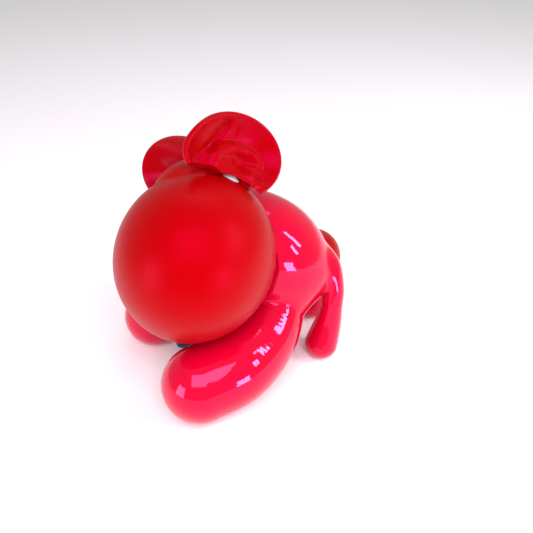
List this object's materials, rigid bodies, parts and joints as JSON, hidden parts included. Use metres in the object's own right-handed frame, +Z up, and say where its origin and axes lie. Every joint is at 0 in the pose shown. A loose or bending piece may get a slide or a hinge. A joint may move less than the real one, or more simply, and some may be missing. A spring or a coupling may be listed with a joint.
{
  "type": "vinyl art toy figure",
  "caption": "Crouching round-eared animal figure in glossy vinyl with a large round muzzle, turning head, legs and bobble tail.",
  "frame": {"origin": "on the plane the soles stand on, under the middle of the bounding box", "axes": "+Z up; +Y away from the side the muzzle faces; +X towards the rump"},
  "size_m": [0.1556, 0.1678, 0.1702],
  "materials": {
    "red_satin": "satin",
    "red_gloss": "gloss",
    "white": "gloss",
    "navy": "semi-gloss",
    "plug_grey": "matte",
    "steel": "plain"
  },
  "bodies": {
    "torso": {"torso": "red_gloss", "bib": "navy", "ballast": "steel"},
    "head": {"muzzle": "red_satin", "cranium": "red_satin", "eye_near": "white", "eye_far": "white", "pupil_near": "navy", "pupil_far": "navy", "ear_near": "red_satin", "ear_far": "red_satin", "ear_pin_near": "plug_grey", "ear_pin_far": "plug_grey", "neck_plug": "plug_grey"},
    "foreleg_near": {"foreleg_near": "red_gloss", "foreleg_near_plug": "plug_grey"},
    "foreleg_far": {"foreleg_far": "red_gloss", "foreleg_far_plug": "plug_grey"},
    "hindleg_near": {"hindleg_near": "red_gloss", "hindleg_near_plug": "plug_grey"},
    "hindleg_far": {"hindleg_far": "red_gloss", "hindleg_far_plug": "plug_grey"},
    "tail": {"tail": "red_satin", "tail_plug": "plug_grey"}
  },
  "joints": [
    {"name": "neck_turn", "type": "hinge", "parent": "torso", "child": "head", "pos_m": [-0.0042, -0.00214, 0.0834], "axis": [0.5202, 0.8102, -0.2701], "range_deg": [-30, 60]},
    {"name": "foreleg_near_turn", "type": "hinge", "parent": "torso", "child": "foreleg_near", "pos_m": [0.0245, -0.01845, 0.0366], "axis": [-0.3704, -0.8009, -0.4705], "range_deg": [-180, 180]},
    {"name": "foreleg_far_turn", "type": "hinge", "parent": "torso", "child": "foreleg_far", "pos_m": [-0.0206, 0.03655, 0.052], "axis": [-0.8583, 0.1198, -0.499], "range_deg": [-180, 180]},
    {"name": "hindleg_near_turn", "type": "hinge", "parent": "torso", "child": "hindleg_near", "pos_m": [0.0648, -0.00535, 0.0405], "axis": [-0.0501, -0.3008, -0.9524], "range_deg": [-90, 90]},
    {"name": "hindleg_far_turn", "type": "hinge", "parent": "torso", "child": "hindleg_far", "pos_m": [0.0564, 0.02755, 0.032], "axis": [0.3008, 0.2005, -0.9324], "range_deg": [-90, 15]},
    {"name": "tail_turn", "type": "hinge", "parent": "torso", "child": "tail", "pos_m": [0.0494, 0.04105, 0.0624], "axis": [0.3522, 0.9357, 0.0201], "range_deg": [-90, 90]}
  ]
}
